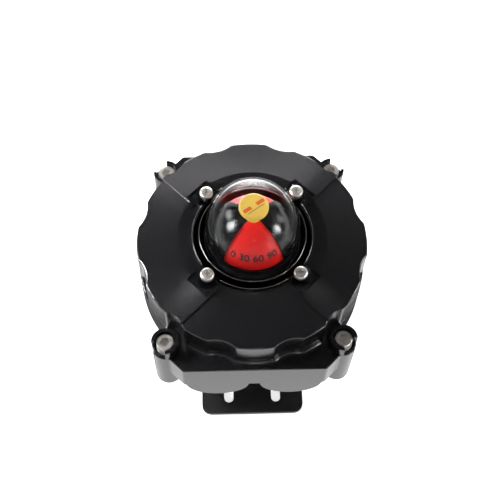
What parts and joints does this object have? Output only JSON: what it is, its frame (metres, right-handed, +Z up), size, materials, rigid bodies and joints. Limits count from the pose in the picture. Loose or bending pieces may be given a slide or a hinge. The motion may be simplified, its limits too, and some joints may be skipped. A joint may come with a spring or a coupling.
{
  "type": "valve limit switch box",
  "caption": "Explosion-proof style limit switch box with scalloped cover, dome position indicator, cam-driven switches and slotted mounting bracket.",
  "frame": {"origin": "on the shaft's axis at the level of the bracket's feet", "axes": "+Z up along the shaft, +Y towards the conduit entries and along the bracket's length"},
  "size_m": [0.136, 0.15, 0.1444],
  "materials": {
    "black_enamel": "gloss black powder coat on die-cast aluminium",
    "black_steel": "satin black coating on steel sheet",
    "stainless": "bright stainless steel",
    "shaft_steel": "turned stainless steel",
    "bronze": "sintered bronze",
    "seal_rubber": "nitrile rubber",
    "clear_plastic": "clear polycarbonate",
    "black_plastic": "satin black moulding",
    "yellow_plastic": "yellow moulding",
    "red_plastic": "red moulding",
    "switch_plastic": "black moulded phenolic",
    "white_plastic": "off-white moulding",
    "terminal_metal": "plated brass"
  },
  "bodies": {
    "housing": {"lower_housing": "black_enamel", "cover": "black_enamel", "bracket": "black_steel", "cover_screws": "stainless", "cover_washers": "stainless", "dome_screws": "stainless", "outer_ground_screw": "stainless", "inner_ground_screw": "stainless", "bracket_screws": "stainless", "bracket_washers": "stainless", "plate_screws": "stainless", "switch_screws": "stainless", "switch_nuts": "stainless", "block_screws": "stainless", "conduit_plug": "stainless", "thrust_washer": "shaft_steel", "switch_plate": "shaft_steel", "switch_spacers": "shaft_steel", "lower_bush": "bronze", "upper_bush": "bronze", "cover_seal": "seal_rubber", "dome_seal": "seal_rubber", "shaft_seals": "seal_rubber", "dome_window": "clear_plastic", "indicator_mask": "black_plastic", "open_switch_case": "switch_plastic", "closed_switch_case": "switch_plastic", "open_switch_terminals": "terminal_metal", "closed_switch_terminals": "terminal_metal", "terminal_screws": "terminal_metal", "terminal_block": "white_plastic"},
    "shaft_group": {"shaft": "shaft_steel", "shaft_clip": "shaft_steel", "spring_clip": "shaft_steel", "spline_sleeve": "black_plastic", "sleeve_pin": "shaft_steel", "open_cam_spring": "shaft_steel", "closed_cam_spring": "shaft_steel", "indicator_rotor": "yellow_plastic", "indicator_red_panels": "red_plastic", "indicator_cap": "yellow_plastic", "indicator_screw": "stainless"},
    "open_cam_body": {"open_cam": "yellow_plastic"},
    "closed_cam_body": {"closed_cam": "red_plastic"},
    "open_lever_body": {"open_switch_lever": "shaft_steel"},
    "closed_lever_body": {"closed_switch_lever": "shaft_steel"},
    "open_roller_body": {"open_switch_roller": "white_plastic"},
    "closed_roller_body": {"closed_switch_roller": "white_plastic"},
    "open_plunger_body": {"open_switch_plunger": "red_plastic"},
    "closed_plunger_body": {"closed_switch_plunger": "red_plastic"}
  },
  "joints": [
    {"name": "shaft_turn", "type": "hinge", "parent": "housing", "child": "shaft_group", "pos_m": [0, 0, 0.05], "axis": [0, 0, 1], "range_deg": [0, 90]},
    {"name": "open_cam_travel", "type": "slide", "parent": "shaft_group", "child": "open_cam_body", "axis": [0, 0, -1], "range_m": [0, 0.003], "stiffness_N_per_m": 300, "springref_m": -0.004, "deforming": ["open_cam_spring"]},
    {"name": "closed_cam_travel", "type": "slide", "parent": "shaft_group", "child": "closed_cam_body", "axis": [0, 0, 1], "range_m": [0, 0.003], "stiffness_N_per_m": 300, "springref_m": -0.004, "deforming": ["closed_cam_spring"]},
    {"name": "open_lever_swing", "type": "hinge", "parent": "housing", "child": "open_lever_body", "pos_m": [-0.0214, -0.02205, 0.05265], "axis": [0, 0, 1], "range_deg": [-5.36, 0]},
    {"name": "open_roller_spin", "type": "hinge", "parent": "open_lever_body", "child": "open_roller_body", "pos_m": [-0.0005, -0.01572, 0.05265], "axis": [0, 0, 1], "continuous": true},
    {"name": "open_plunger_travel", "type": "slide", "parent": "housing", "child": "open_plunger_body", "axis": [0, -1, 0], "range_m": [0, 0.00079539]},
    {"name": "closed_lever_swing", "type": "hinge", "parent": "housing", "child": "closed_lever_body", "pos_m": [-0.0214, -0.02205, 0.06565], "axis": [0, 0, 1], "range_deg": [0, 5.36]},
    {"name": "closed_roller_spin", "type": "hinge", "parent": "closed_lever_body", "child": "closed_roller_body", "pos_m": [0, -0.0177, 0.06565], "axis": [0, 0, 1], "continuous": true},
    {"name": "closed_plunger_travel", "type": "slide", "parent": "housing", "child": "closed_plunger_body", "axis": [0, 1, 0], "range_m": [0, 0.00079539]}
  ],
  "couplings": [
    {"joint": "open_lever_swing", "follows": "shaft_turn", "ratio": -0.059584},
    {"joint": "closed_lever_swing", "follows": "shaft_turn", "ratio": 0.059584},
    {"joint": "open_plunger_travel", "follows": "shaft_turn", "m_per_rad": 0.00050573},
    {"joint": "closed_plunger_travel", "follows": "shaft_turn", "m_per_rad": 0.00050573}
  ]
}
